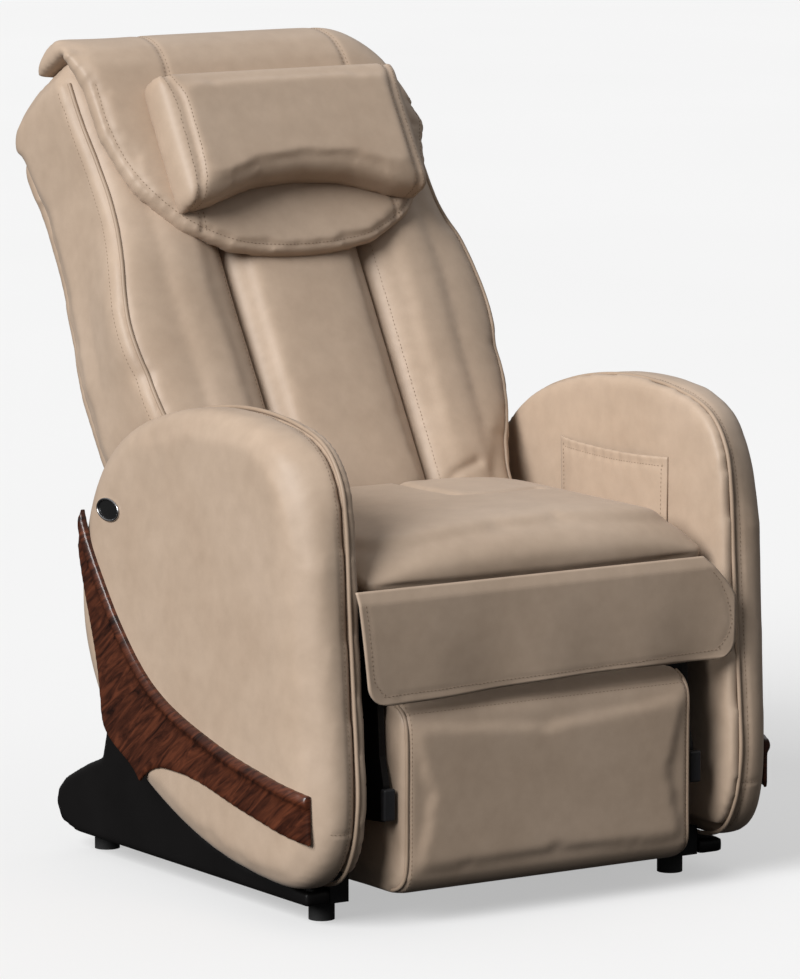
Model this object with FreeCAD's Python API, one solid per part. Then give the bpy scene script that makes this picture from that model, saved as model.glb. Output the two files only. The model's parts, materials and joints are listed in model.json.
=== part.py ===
"""Home massage recliner: upholstered shell, reclining back with a roller carriage, lifting leg rest.

Row frame in millimetres: +Z up, the sitter faces -Y, X = 0 is the plane between the arms.
The back is drawn upright in its own frame (x, y = depth behind its face, z = height up the back)
and is then leaned back about the X axis and set on the base by lean().
"""
import FreeCAD, Part
import math
import os

V = FreeCAD.Vector

# ---- driving dimensions -------------------------------------------------------------------
ARM_IN, ARM_OUT = 300.0, 385.0          # arm panel, from the middle plane to its inner and outer face
ARM_CORE = (316.0, 329.0)               # board between the inner and the outer pad
PAD_GAP = 0.4                           # air left between neighbouring soft parts
TRIM_T = 10.0                           # thickness of the wooden trim
SEAT_HALF = 278.0                       # half width of the seat cushion
SEAT_Y = (-462.0, -56.0)                # front and rear of the seat cushion
SEAT_Z = (455.0, 525.0)                 # underside and top of the seat cushion
LEAN = 30.0                             # the back leans this far from upright, degrees
BACK_FOOT = (-50.0, 450.0)              # y, z of the back frame's own origin
BACK_DEPTH = 205.0                      # face of the pads to the rear shell
PIVOT_BACK = (55.0, 412.0)              # y, z of the recline pins
PIVOT_LEG = (-420.0, 395.0)             # y, z of the leg rest pins
PIVOT_OTTOMAN = (-375.0, 175.0)         # y, z of the pins the ottoman turns on
OTTOMAN = (235.0, -483.0, -267.0, 45.0, 308.0)   # half width, front, rear, bottom, top
WELL = (50.0, 185.0, 92.0, 250.0)       # calf well: inner x, outer x, depth, height of its closed end
FLAP = (304.0, -497.0, -487.0, 315.0, 468.0)     # half width, front, rear, bottom, top
RAIL_X = (275.0, 305.0)                 # floor rails
POST_X = (268.0, 292.0)                 # posts that carry the seat frame
FEET_Y = (-360.0, 212.0)
FOOT_R, FOOT_H = 18.0, 30.0
PIN_R, PIN_GAP = 8.0, 0.06              # hinge pins and their running clearance
LEVER_LEG, LEVER_BACK = 45.0, 100.0     # crank lengths the two actuators push on
SWING_LEG, SWING_BACK = 85.0, 50.0      # travel of the leg rest and of the back, degrees
ACT_LEG_X, ACT_BACK_X = -60.0, 60.0     # planes of the two actuators
RAIL_GUIDE = (140.0, 110.0, 7.0)        # x, depth and radius of the carriage's guide rails
SCREW_DEPTH, SCREW_R = 150.0, 6.0
CAR_Z = (160.0, 300.0)                  # carriage at its lowest, along the back
ROLLER_R, ROLLER_T = 28.0, 26.0
ROLLER_X, ROLLER_DEPTH, ROLLER_DZ = 62.0, 61.0, 50.0
PILLOW = (200.0, 490.0, 698.0)          # half length, bottom and top along the back
EPS = 0.01


# ---- helpers ------------------------------------------------------------------------------
def box(x0, x1, y0, y1, z0, z1):
    """Box between two opposite corners."""
    return Part.makeBox(x1 - x0, y1 - y0, z1 - z0, V(x0, y0, z0))


def rod(x, y, z, radius, length, axis=(1, 0, 0)):
    """Round bar that starts at a point and runs along an axis."""
    return Part.makeCylinder(radius, length, V(x, y, z), V(*axis))


def fuse(shapes):
    """One clean solid from touching shapes."""
    out = shapes[0]
    for shape in shapes[1:]:
        out = out.fuse(shape)
    return out.removeSplitter()


def outline(points, smooth):
    """Closed wire through points: a smooth curve or straight sides."""
    if smooth:
        curve = Part.BSplineCurve()
        curve.interpolate(Points=points, PeriodicFlag=True)
        return Part.Wire(curve.toShape())
    return Part.makePolygon(points + points[:1])


def side_prism(yz, x0, x1, smooth=False):
    """Profile in the side view, given as (y, z) pairs, drawn out from x0 to x1."""
    wire = outline([V(x0, y, z) for y, z in yz], smooth)
    return Part.Face(wire).extrude(V(x1 - x0, 0, 0))


def front_prism(xz, y0, y1, smooth=False):
    """Profile in the front view, given as (x, z) pairs, drawn out from y0 to y1."""
    wire = outline([V(x, y0, z) for x, z in xz], smooth)
    return Part.Face(wire).extrude(V(0, y1 - y0, 0))


def soften(shape, radius, keep):
    """Round the edges whose middle passes the test keep(point)."""
    edges = [e for e in shape.Edges if keep(e.CenterOfMass)]
    return shape.makeFillet(radius, edges)


def soften_all(shape, radius):
    """Round every edge."""
    return shape.makeFillet(radius, shape.Edges)


def lean(shape):
    """Set a shape drawn in the upright back frame on the base, leaning back."""
    out = shape.copy()
    out.rotate(V(0, 0, 0), V(1, 0, 0), -LEAN)
    out.translate(V(0, BACK_FOOT[0], BACK_FOOT[1]))
    return out


def unlean(y, z):
    """Where a point of the side view lies in the upright back frame."""
    a = math.radians(LEAN)
    dy, dz = y - BACK_FOOT[0], z - BACK_FOOT[1]
    return dy * math.cos(a) - dz * math.sin(a), dy * math.sin(a) + dz * math.cos(a)


def mirror(shape):
    """The same shape on the other side of the chair."""
    return shape.mirror(V(0, 0, 0), V(1, 0, 0))


def pair(shape):
    """A shape and its mirror image, as one group of two solids."""
    return Part.makeCompound([shape, mirror(shape)])


def drilled(shape, bolts):
    """A shape with holes where bolts pass through it."""
    return shape.cut(Part.makeCompound(bolts))


def bolt(x, y, z, length, axis, r=4.0):
    """Button-head bolt: the head stands on the point, the shank runs along the axis."""
    d = V(*axis)
    shank = Part.makeCylinder(r, length, V(x, y, z), d)
    head = Part.makeCylinder(r * 2, r, V(x, y, z) - d * r, d)
    return shank.fuse(head).removeSplitter()


NODES = {}


# ---- base and seat ------------------------------------------------------------------------
def build_base():
    tube = 40.0
    rail = box(RAIL_X[0], RAIL_X[1], -405, 235, FOOT_H, FOOT_H + tube)
    front_post = box(POST_X[0], POST_X[1], -205, -165, FOOT_H + tube - EPS, 400)
    rear_post = box(POST_X[0], POST_X[1], 20, 60, FOOT_H + tube - EPS, 388)
    crosses = [box(-POST_X[1], POST_X[1], y, y + tube, FOOT_H, FOOT_H + tube) for y in (-205, 150)]
    ears = [arm_bracket(y) for y in (-205.0, 20.0)]
    half = [rail, front_post, rear_post] + ears
    frame = fuse(half + [mirror(s) for s in half] + crosses)
    NODES["base_frame"] = drilled(frame, arm_bolts() + outrigger_bolts())
    foot = rod(290, FEET_Y[0], 0, FOOT_R, FOOT_H, (0, 0, 1))
    rear = rod(290, FEET_Y[1], 0, FOOT_R, FOOT_H, (0, 0, 1))
    NODES["glide_feet"] = Part.makeCompound([foot, rear, mirror(foot), mirror(rear)])

    profile = [(-410, 30), (-410, 50), (-250, 60), (-140, 82), (-40, 124), (40, 174), (82, 205),
               (118, 200), (132, 150), (177, 133), (234, 106), (257, 86), (263, 65), (249, 41), (206, 30)]
    shell = drilled(side_prism(profile, RAIL_X[1] + 1, 346), outrigger_bolts(both=False))
    NODES["outrigger_right"] = shell
    NODES["outrigger_left"] = mirror(shell)
    NODES["outrigger_bolts"] = Part.makeCompound(outrigger_bolts())
    NODES["arm_bolts"] = Part.makeCompound(arm_bolts())


def arm_bracket(y):
    """Short steel arm from a post out to the core board of an arm."""
    return box(POST_X[1] - EPS, ARM_CORE[0], y, y + 40, 250, 290)


def arm_bolts():
    """Bolts that hold the arm boards on the brackets, heads on the inside of the posts."""
    right = [bolt(POST_X[0], y, 270, ARM_CORE[1] - POST_X[0] - 2, (1, 0, 0)) for y in (-185, 40)]
    return right + [mirror(b) for b in right]


def outrigger_bolts(both=True):
    """Bolts that hold the base covers on the floor rails."""
    right = [bolt(RAIL_X[0], y, 50, 50, (1, 0, 0), 3.0) for y in (-330, -60, 200)]
    return right + [mirror(b) for b in right] if both else right


def build_seat():
    rail = box(264, 282, -442, 80, 402, 440)
    leg_ear = box(264, 282, PIVOT_LEG[0] - 22, PIVOT_LEG[0] + 22, 372, 404)
    back_ear = box(270, 282, PIVOT_BACK[0] - 22, PIVOT_BACK[0] + 22, 388, 441)
    step = box(POST_X[0] - 5, 270, 20, 81, 401, 441)
    rail = rail.cut(step)
    crosses = [box(-264 - EPS, 264 + EPS, y, y + 30, 412, 440) for y in (-370, -150)]
    leg_bore = rod(240, *PIVOT_LEG, PIN_R, 80)
    back_bore = rod(240, *PIVOT_BACK, PIN_R, 80)
    half = fuse([rail, leg_ear, back_ear]).cut(Part.makeCompound([leg_bore, back_bore]))
    hanger_leg = box(ACT_LEG_X - 32, ACT_LEG_X + 12, -131, -120, 334, 412 + EPS)
    hanger_back = box(ACT_BACK_X - 32, ACT_BACK_X + 12, -148, -122, 304, 412 + EPS)
    NODES["seat_frame"] = fuse([half, mirror(half)] + crosses + [hanger_leg, hanger_back])
    post_cut = box(-POST_X[1] - 1, POST_X[1] + 1, -500, 300, 400, 460)
    NODES["base_frame"] = NODES["base_frame"].cut(post_cut)
    NODES["leg_pins"] = pair(rod(248, *PIVOT_LEG, PIN_R, 34))
    NODES["recline_pins"] = pair(rod(255.5, *PIVOT_BACK, PIN_R, 26.5))
    NODES["seat_pan"] = box(-262, 262, -450, -70, 441, 453)
    cushion = box(-SEAT_HALF, SEAT_HALF, *SEAT_Y, *SEAT_Z)
    cushion = soften(cushion, 26, lambda p: p.z > SEAT_Z[1] - 1 and p.y < SEAT_Y[1] - 1)
    NODES["seat_cushion"] = cushion
    motor = rod(0, -230, 425, 14, 60)
    NODES["seat_vibration_motor"] = fuse([motor, box(0, 60, -244, -216, 425, 440.7)])


# ---- arms ---------------------------------------------------------------------------------
ARM_PROFILE = [(-490, 250), (-493, 179), (-478, 110), (-440, 66), (-360, 57), (-252, 69), (-147, 96),
               (-40, 141), (33, 186), (90, 250), (126, 325), (135, 407), (120, 490), (77, 577),
               (8, 634), (-70, 664), (-160, 682), (-250, 687), (-340, 679), (-412, 657), (-452, 612),
               (-466, 550), (-473, 450), (-482, 340)]
TRIM_TOP = [(103, 514), (84, 471), (57, 432), (17, 381), (-24, 338), (-77, 296), (-143, 265),
            (-222, 242), (-300, 224), (-376, 212), (-468, 196)]
TRIM_LOW = [(-470, 127), (-363, 145), (-286, 158), (-208, 173), (-142, 178), (-102, 176), (-70, 165),
            (-48, 149), (19, 190), (49, 214), (57, 248), (64, 289), (80, 344), (99, 398), (116, 459)]
BADGE = (34.0, 520.0, 28.5, 15.0)       # y, z and the two half axes of the blank oval plate
POCKET = (284.0, -340.0, -80.0, 430.0, 585.0)    # inner x, front, rear, bottom, rim
POCKET_WALL = 2.5


def build_arms():
    core = side_prism(ARM_PROFILE, *ARM_CORE, smooth=True)
    middle = V((ARM_CORE[0] + ARM_CORE[1]) / 2, -180, 380)
    core = scaled_yz(core, middle, 0.94)
    core = drilled(core, arm_bolts())
    outer = side_prism(ARM_PROFILE, ARM_CORE[1] + PAD_GAP, ARM_OUT, smooth=True)
    outer = soften(outer, 30, lambda p: p.x > ARM_OUT - 1)
    inner = side_prism(ARM_PROFILE, ARM_IN, ARM_CORE[0] - PAD_GAP, smooth=True)
    inner = inner.common(fuse([box(0, 500, -600, 300, 375, 800), box(0, 500, -600, -330, 80, 376)]))
    inner = soften(inner, 6, lambda p: p.x < ARM_IN + 1 and p.z > 380 and p.y < 120)
    for side, place in (("right", lambda s: s), ("left", mirror)):
        NODES["arm_core_" + side] = place(core)
        NODES["arm_outer_pad_" + side] = place(outer)
        NODES["arm_inner_pad_" + side] = place(inner)
        NODES["wood_trim_" + side] = place(wood_trim())
        NODES["badge_plate_" + side] = place(badge_plate())
    NODES["remote_pocket"] = pocket()


def scaled_yz(shape, centre, factor):
    """A side profile shrunk in the side view only."""
    m = FreeCAD.Matrix()
    m.move(centre * -1)
    m.scale(V(1, factor, factor))
    m.move(centre)
    return shape.transformGeometry(m)


def wood_trim():
    """Sweeping trim: a curved upper edge, an arch cut in its lower edge and a blunt front end."""
    x = ARM_OUT + PAD_GAP
    upper = Part.BSplineCurve()
    upper.interpolate([V(x, y, z) for y, z in TRIM_TOP])
    arch = Part.BSplineCurve()
    arch.interpolate([V(x, y, z) for y, z in TRIM_LOW[:8]])
    tail = Part.BSplineCurve()
    tail.interpolate([V(x, y, z) for y, z in TRIM_LOW[7:]])
    nose = Part.makeLine(V(x, *TRIM_TOP[-1]), V(x, *TRIM_LOW[0]))
    heel = Part.makeLine(V(x, *TRIM_LOW[-1]), V(x, *TRIM_TOP[0]))
    wire = Part.Wire([upper.toShape(), nose, arch.toShape(), tail.toShape(), heel])
    return Part.Face(wire).extrude(V(TRIM_T - PAD_GAP, 0, 0))


def badge_plate():
    """Blank oval plate."""
    y, z, a, b = BADGE
    ellipse = Part.Ellipse(V(0, 0, 0), a, b)
    face = Part.Face(Part.Wire(ellipse.toShape()))
    plate = face.extrude(V(0, 0, 4))
    plate.rotate(V(0, 0, 0), V(1, 0, 0), 90)
    plate.rotate(V(0, 0, 0), V(0, 0, 1), 90)
    plate.translate(V(ARM_OUT + PAD_GAP, y, z))
    return plate


def pocket():
    """Open-topped pouch on the inner face of one arm."""
    x0, y0, y1, z0, z1 = POCKET
    x1 = ARM_IN - PAD_GAP
    w = POCKET_WALL
    outer = box(x0, x1, y0, y1, z0, z1)
    return outer.cut(box(x0 + w, x1 - w, y0 + w, y1 - w, z0 + w, z1 + 10))


# ---- back ---------------------------------------------------------------------------------
def build_back():
    foot = 45.0
    pad = (-20.0, 26.0)
    centre = box(-112, 112, *pad, foot, 770)
    centre = soften(centre, 14, lambda p: p.y < pad[0] + 1)
    side = box(116, 186, *pad, foot, 770)
    side = soften(side, 14, lambda p: p.y < pad[0] + 1)
    NODES["back_pad_centre"] = lean(centre)
    NODES["back_pad_right"] = lean(side)
    NODES["back_pad_left"] = lean(mirror(side))

    bolster_line = [(190, 45), (262, 45), (268, 130), (292, 230), (296, 330), (284, 420), (272, 520),
                    (270, 600), (278, 680), (280, 735), (262, 772), (190, 772)]
    bolster = front_prism(bolster_line, -12, 176)
    shoulder = [(-12, 45), (176, 45), (176, 726), (164, 752), (138, 768), (104, 772), (-12, 772)]
    bolster = bolster.common(side_prism(shoulder, 180, 300))
    bolster = soften(bolster, 12, lambda p: p.y < -11 and p.x > 195 and 50 < p.z < 765)
    NODES["back_bolster_right"] = lean(bolster)
    NODES["back_bolster_left"] = lean(mirror(bolster))

    shell_line = [(-258, 60), (258, 60), (284, 230), (288, 330), (276, 420), (266, 520), (266, 600),
                  (276, 680), (264, 715), (232, 734), (-232, 734), (-264, 715), (-276, 680), (-266, 600),
                  (-266, 520), (-276, 420), (-288, 330), (-284, 230)]
    shell = front_prism(shell_line, 177, BACK_DEPTH)
    shell = soften(shell, 16, lambda p: p.y > BACK_DEPTH - 1)
    NODES["back_shell"] = lean(drilled(shell, shell_screws()))
    NODES["back_shell_screws"] = lean(Part.makeCompound(shell_screws()))
    NODES["back_frame"] = drilled(back_frame(), [lean(s) for s in shell_screws()])
    NODES["head_cover"] = lean(head_cover())
    NODES["head_pillow"] = lean(head_pillow())


def shell_screws():
    """Screws that hold the rear shell on the frame, heads outside."""
    return [bolt(x, BACK_DEPTH, z, 40, (0, -1, 0), 2.5) for x in (-178, 178) for z in (140, 420, 690)]


def back_frame():
    """Welded frame of the back: two uprights, cross bars, hinge plates and the recline crank."""
    upright = box(168, 187, 60, 175, 60, 745)
    bars = [box(-168 - EPS, 168 + EPS, 60, 175, z, z + 16) for z in (60, 730)]
    frame = [lean(s) for s in (upright, mirror(upright), *bars)]
    y, z = PIVOT_BACK
    py, pz = unlean(y, z)
    plate = lean(box(187 - EPS, 189.5, 62, 172, 60, 130))
    arm = lean(box(189, 267, 118, 172, 20, 44))
    tab = lean(box(257, 267, py - 24, 172, pz - 24, 44))
    neck = lean(box(168, 189.5, 118, 172, 20, 62))
    bore = rod(250, y, z, PIN_R + PIN_GAP, 25)
    hinge = fuse([plate, neck, arm, tab]).cut(bore)
    lever = lean(box(ACT_BACK_X, ACT_BACK_X + 8, 100, 140, 10, 61))
    return fuse(frame + [hinge, mirror(hinge), recline_crank(lever)])


def crank_end(pivot, length, swing, side):
    """End of a crank whose travel is centred on straight down, at the start of the travel."""
    a = math.radians(swing / 2)
    return pivot[0] + side * length * math.sin(a), pivot[1] - length * math.cos(a)


def recline_crank(root):
    """Crank under the back, with the pin the recline actuator's slotted end carries."""
    ey, ez = crank_end(PIVOT_BACK, LEVER_BACK, SWING_BACK, 1)
    y, z = PIVOT_BACK
    web = side_prism([(y - 14, z), (y + 20, z + 22), (ey + 10, ez - 2), (ey - 8, ez - 9)], ACT_BACK_X,
                     ACT_BACK_X + 8)
    eye = rod(ACT_BACK_X, ey, ez, 12, 8)
    pin = rod(ACT_BACK_X - 14, ey, ez, 5, 15)
    return fuse([root, web, eye, pin])


def head_cover():
    """Padded cap over the top of the back: a front panel, the crest and a short rear apron."""
    front_line = [(-120, 448), (-60, 437), (0, 434), (60, 437), (120, 448), (190, 486), (244, 553),
                  (268, 640), (272, 720), (-272, 720), (-268, 640),
                  (-244, 553), (-190, 486)]
    front = front_prism(front_line, -48, -21)
    crest_line = [(-48, 690), (-48, 738), (-38, 766), (-14, 791), (20, 808), (52, 807), (70, 794), (76, 776),
                  (-21, 776), (-21, 690)]
    crest = side_prism(crest_line, -288, 288)
    crest = crest.common(front_prism([(-260, 690), (-272, 720), (-288, 770), (-270, 808), (-230, 820),
                                      (230, 820), (270, 808), (288, 770), (272, 720), (260, 690)], -50, 200))
    return fuse([front, crest])


def head_pillow():
    """Bolster pillow with an arched underside."""
    half, low, high = PILLOW
    line = [(-half, low), (-half, high), (half, high), (half, low), (150, low + 8), (80, low + 27), (0, low + 34),
            (-80, low + 27), (-150, low + 8)]
    body = front_prism(line, -104, -49)
    return soften(body, 20, lambda p: p.y < -103)


# ---- massage mechanism --------------------------------------------------------------------
def build_mechanism():
    x, depth, r = RAIL_GUIDE
    NODES["guide_rails"] = lean(pair(rod(x, depth, 76.5, r, 653, (0, 0, 1))))
    z0, z1 = CAR_Z
    NODES["lead_screw"] = lean(rod(0, SCREW_DEPTH, 112, SCREW_R, 600, (0, 0, 1)))
    motor = box(-32, 32, 118, 172, 76.5, 110)
    NODES["screw_motor"] = lean(motor)
    plate = box(-157, 157, 98, 122, z0, z1)
    nut = box(-22, 22, 121, 168, 205, 250)
    yokes = [box(s * ROLLER_X - 7, s * ROLLER_X + 7, 84, 99, 212, 248) for s in (-1, 1)]
    bores = [rod(s * x, depth, z0 - 1, r + 0.3, 200, (0, 0, 1)) for s in (-1, 1)]
    bores.append(rod(0, SCREW_DEPTH, z0 - 1, SCREW_R + 0.3, 200, (0, 0, 1)))
    plate = fuse([plate, nut] + yokes).cut(Part.makeCompound(bores))
    NODES["carriage"] = lean(plate)
    gearbox = soften_all(box(-34, 34, 123, 166, 258, 298), 5).cut(rod(0, SCREW_DEPTH, 250, 9, 60, (0, 0, 1)))
    NODES["knead_gearbox"] = lean(gearbox)
    mid = (z0 + z1) / 2
    for side, s in (("right", 1), ("left", -1)):
        NODES["knead_arm_" + side] = lean(knead_arm(s, mid))
        for level, d in (("upper", 1), ("lower", -1)):
            NODES["roller_%s_%s" % (level, side)] = lean(roller(s, mid + d * ROLLER_DZ))


def knead_arm(s, mid):
    """Rocking arm: a side plate beside the yoke and an axle for a roller at each end."""
    inner = s * (ROLLER_X - 26) if s > 0 else s * (ROLLER_X - 14)
    plate = box(inner, inner + 12, 50, 88, mid - 62, mid + 62)
    hub = rod(inner, 82, mid, 12, 12)
    x_axle = min(inner, s * (ROLLER_X + ROLLER_T / 2 + 4))
    length = abs(s * (ROLLER_X + ROLLER_T / 2 + 4) - inner) if s > 0 else 12 + abs(x_axle - inner)
    axles = [rod(x_axle, ROLLER_DEPTH, mid + d * ROLLER_DZ, 5, length) for d in (-1, 1)]
    return fuse([plate, hub] + axles)


def roller(s, z):
    """Massage roller with a running bore and a rounded tread."""
    x0 = s * ROLLER_X - ROLLER_T / 2
    body = soften_all(rod(x0, ROLLER_DEPTH, z, ROLLER_R, ROLLER_T), 6)
    return body.cut(rod(x0 - 1, ROLLER_DEPTH, z, 5 + PIN_GAP, ROLLER_T + 2))


# ---- leg rest -----------------------------------------------------------------------------
def build_leg_rest():
    py, pz = PIVOT_LEG
    oy, oz = PIVOT_OTTOMAN
    plate_line = [(py - 20, pz + 14), (py + 20, pz + 14), (oy + 34, oz + 34), (oy + 34, oz - 34),
                  (oy - 20, oz - 34), (-462, oz - 28), (-462, oz + 22), (-452, oz + 60)]
    plate = side_prism(plate_line, 246, 256)
    plate = plate.cut(rod(246, py, pz, PIN_R + PIN_GAP, 12)).cut(rod(240, oy, oz, 10 + PIN_GAP, 20))
    tube = rod(-246, py, pz, 12, 492)
    ey, ez = crank_end(PIVOT_LEG, LEVER_LEG, SWING_LEG, 1)
    web = side_prism([(py - 9, pz - 8), (py + 4, pz + 11), (ey + 7, ez + 6), (ey - 6, ez - 7)], ACT_LEG_X,
                     ACT_LEG_X + 8)
    crank = [web, rod(ACT_LEG_X, ey, ez, 9, 8), rod(ACT_LEG_X - 14, ey, ez, 5, 15)]
    NODES["legrest_frame"] = fuse([plate, mirror(plate), tube] + crank)
    cap = soften_all(box(243.5, 262, -474, -462.3, oz - 26, oz + 18), 3)
    NODES["bracket_caps"] = pair(cap)
    NODES["front_flap"] = front_flap()

    half, front, rear, low, high = OTTOMAN
    body = box(-half, half, front, rear, low, high)
    body = soften(body, 34, lambda p: abs(p.x) < 1)
    x0, x1, depth, top = WELL
    well = box(x0, x1, rear - depth, rear + 5, low - 5, top)
    body = body.cut(well).cut(mirror(well))
    NODES["ottoman_body"] = body
    liner = box(x0 + 14, x1 - 14, rear - depth + 0.4, rear - depth + 12, low + 12, top - 20)
    NODES["calf_airbags"] = pair(soften(liner, 5, lambda p: p.y > rear - depth + 11))
    NODES["ottoman_pivots"] = pair(fuse([rod(half + 0.3, oy, oz, 24, 5.5), rod(half + 5, oy, oz, 10, 22)]))


def front_flap():
    """Flat apron with round lower corners."""
    half, front, rear, low, high = FLAP
    return soften(box(-half, half, front, rear, low, high), 40,
                  lambda p: abs(p.x) > half - 1 and p.z < low + 1 and front < p.y - 1 < rear)


# ---- actuators, power ---------------------------------------------------------------------
def actuator(x, z, end, rise, face, length, inside, bore_depth):
    """Linear actuator: a fixed housing and a rod with an upright slot for a crank pin."""
    ey, ez = end
    slot_w, plate_w = 15.0, 8.0
    toward = 1 if ey > face else -1
    nose = face + toward * length
    housing = rod(x - 10, min(face, nose), z, 18, length, (0, 1, 0))
    plate = box(x - 14, x - 6, ey - 18, ey + 18, ez - rise - 15, ez + 15)
    slot = box(x - 16, x - 4, ey - slot_w / 2, ey + slot_w / 2, ez - rise - 8, ez + 8)
    reach = abs(nose - ey) - 17 + inside
    start = nose - toward * inside
    shaft = rod(x - 10, min(start, start + toward * reach), z, 5, reach, (0, 1, 0))
    deep = nose - toward * bore_depth
    bore = rod(x - 10, min(deep, nose + toward), z, 5 + PIN_GAP, bore_depth + 1, (0, 1, 0))
    return housing.cut(bore), fuse([plate.cut(slot), shaft])


def build_power():
    swing = math.radians(SWING_LEG / 2)
    end = crank_end(PIVOT_LEG, LEVER_LEG, SWING_LEG, 1)
    stroke = 2 * LEVER_LEG * math.sin(swing)
    body, shaft = actuator(ACT_LEG_X, 352.0, end, LEVER_LEG * (1 - math.cos(swing)), -131.0,
                           84.0, stroke + 14, stroke + 18)
    NODES["legrest_actuator_body"], NODES["legrest_actuator_rod"] = body, shaft
    swing = math.radians(SWING_BACK / 2)
    end = crank_end(PIVOT_BACK, LEVER_BACK, SWING_BACK, 1)
    stroke = 2 * LEVER_BACK * math.sin(swing)
    body, shaft = actuator(ACT_BACK_X, 322.0, end, LEVER_BACK * (1 - math.cos(swing)), -122.0,
                           114.0, 14.0, stroke + 18)
    NODES["recline_actuator_body"], NODES["recline_actuator_rod"] = body, shaft
    case = box(-110, 90, 150.5, 189.5, 70.4, 150)
    window = box(-12, 12, 182, 195, 96, 124)
    inlet_hole = box(28, 58, 182, 195, 96, 120)
    NODES["control_box"] = case.cut(window).cut(inlet_hole)
    NODES["power_inlet"] = inlet()
    NODES["power_switch"] = rocker()


def inlet():
    """Appliance inlet with a hollow mouth."""
    block = box(28, 58, 182, 192, 96, 120)
    return block.cut(box(31, 55, 184, 193, 99, 117))


def rocker():
    """Rocker of the mains switch, at rest in the off position."""
    key = side_prism([(184, 98), (191, 98), (189, 110), (193, 122), (184, 122)], -10, 10)
    return key


build_base()
build_seat()
build_arms()
build_back()
build_mechanism()
build_leg_rest()
build_power()

os.makedirs("parts", exist_ok=True)
for name, shape in NODES.items():
    shape.exportStep("parts/%s.step" % name)
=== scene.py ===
"""Looks of the massage recliner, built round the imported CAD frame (metres, +Z up, the sitter faces -Y)."""

import math

import bpy
import numpy as np
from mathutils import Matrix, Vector
from mathutils.bvhtree import BVHTree
from mathutils.kdtree import KDTree
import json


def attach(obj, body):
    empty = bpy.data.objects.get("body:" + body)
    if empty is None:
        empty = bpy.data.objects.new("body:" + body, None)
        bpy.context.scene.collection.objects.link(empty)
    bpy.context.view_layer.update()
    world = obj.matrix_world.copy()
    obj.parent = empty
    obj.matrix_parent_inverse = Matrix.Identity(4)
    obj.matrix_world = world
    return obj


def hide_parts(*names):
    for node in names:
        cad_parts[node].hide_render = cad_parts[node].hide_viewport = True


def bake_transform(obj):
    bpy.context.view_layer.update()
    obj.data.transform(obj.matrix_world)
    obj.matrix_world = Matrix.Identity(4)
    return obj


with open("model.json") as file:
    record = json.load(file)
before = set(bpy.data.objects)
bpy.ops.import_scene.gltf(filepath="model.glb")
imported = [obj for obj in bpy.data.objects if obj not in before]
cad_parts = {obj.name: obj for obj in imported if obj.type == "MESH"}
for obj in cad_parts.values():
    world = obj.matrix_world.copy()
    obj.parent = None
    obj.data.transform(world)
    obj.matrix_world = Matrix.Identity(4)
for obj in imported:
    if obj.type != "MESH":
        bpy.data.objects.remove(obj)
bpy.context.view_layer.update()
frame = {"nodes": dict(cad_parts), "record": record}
NODES = frame["nodes"]
LEAN = math.radians(30)                  # the back's lean from upright
LEAN_C, LEAN_S = math.cos(LEAN), math.sin(LEAN)
BACK_Y, BACK_Z = -0.05, 0.45             # where the upright back frame starts
COLL = bpy.context.scene.collection
CLOTH_FRAMES = 20


# ---- mesh helpers -------------------------------------------------------------------------
def back(x, depth, up):
    """A point of the upright back frame (metres) in the row frame."""
    return Vector((x, BACK_Y + depth * LEAN_C + up * LEAN_S, BACK_Z - depth * LEAN_S + up * LEAN_C))


def to_back(co):
    """Depth and height of row-frame points in the upright back frame."""
    y, z = co[:, 1] - BACK_Y, co[:, 2] - BACK_Z
    return y * LEAN_C - z * LEAN_S, y * LEAN_S + z * LEAN_C


def push_back(co, amount):
    """Moves points into the back, along its depth."""
    co[:, 1] += amount * LEAN_C
    co[:, 2] -= amount * LEAN_S
    return co


def get_co(obj):
    """Every vertex position, as an array."""
    co = np.empty(len(obj.data.vertices) * 3)
    obj.data.vertices.foreach_get("co", co)
    return co.reshape(-1, 3)


def set_co(obj, co):
    obj.data.vertices.foreach_set("co", np.ascontiguousarray(co, float).ravel())
    obj.data.update()


def normals(obj):
    no = np.empty(len(obj.data.vertices) * 3)
    obj.data.vertex_normals.foreach_get("vector", no)
    return no.reshape(-1, 3)


def smooth_shade(obj):
    obj.data.polygons.foreach_set("use_smooth", [True] * len(obj.data.polygons))


def bake(obj):
    """Applies every modifier."""
    bpy.context.view_layer.update()
    dg = bpy.context.evaluated_depsgraph_get()
    mesh = bpy.data.meshes.new_from_object(obj.evaluated_get(dg))
    obj.modifiers.clear()
    obj.data = mesh


def new_object(name, verts, faces):
    mesh = bpy.data.meshes.new(name)
    mesh.from_pydata([tuple(v) for v in verts], [], faces)
    obj = bpy.data.objects.new(name, mesh)
    COLL.objects.link(obj)
    return obj


def grid_faces(wide, high):
    """Faces of a grid of points laid out row by row."""
    step = wide + 1
    return [(a, a + step, a + step + 1, a + 1)
            for j in range(high) for a in range(j * step, j * step + wide)]


def copy_nodes(name, nodes):
    """One new object with the solids of these CAD nodes."""
    verts, faces = [], []
    for n in nodes:
        o = NODES[n]
        m, base = o.matrix_world, len(verts)
        verts += [m @ v.co for v in o.data.vertices]
        faces += [tuple(base + i for i in p.vertices) for p in o.data.polygons]
    return new_object(name, verts, faces)


def remesh(obj, voxel):
    mod = obj.modifiers.new("remesh", "REMESH")
    mod.mode, mod.voxel_size = "VOXEL", voxel
    bake(obj)


def relax(obj, factor, rounds):
    mod = obj.modifiers.new("smooth", "SMOOTH")
    mod.factor, mod.iterations = factor, rounds
    bake(obj)


def thicken(obj, thickness):
    mod = obj.modifiers.new("thickness", "SOLIDIFY")
    mod.thickness, mod.offset = thickness, 0.0
    bake(obj)


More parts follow.
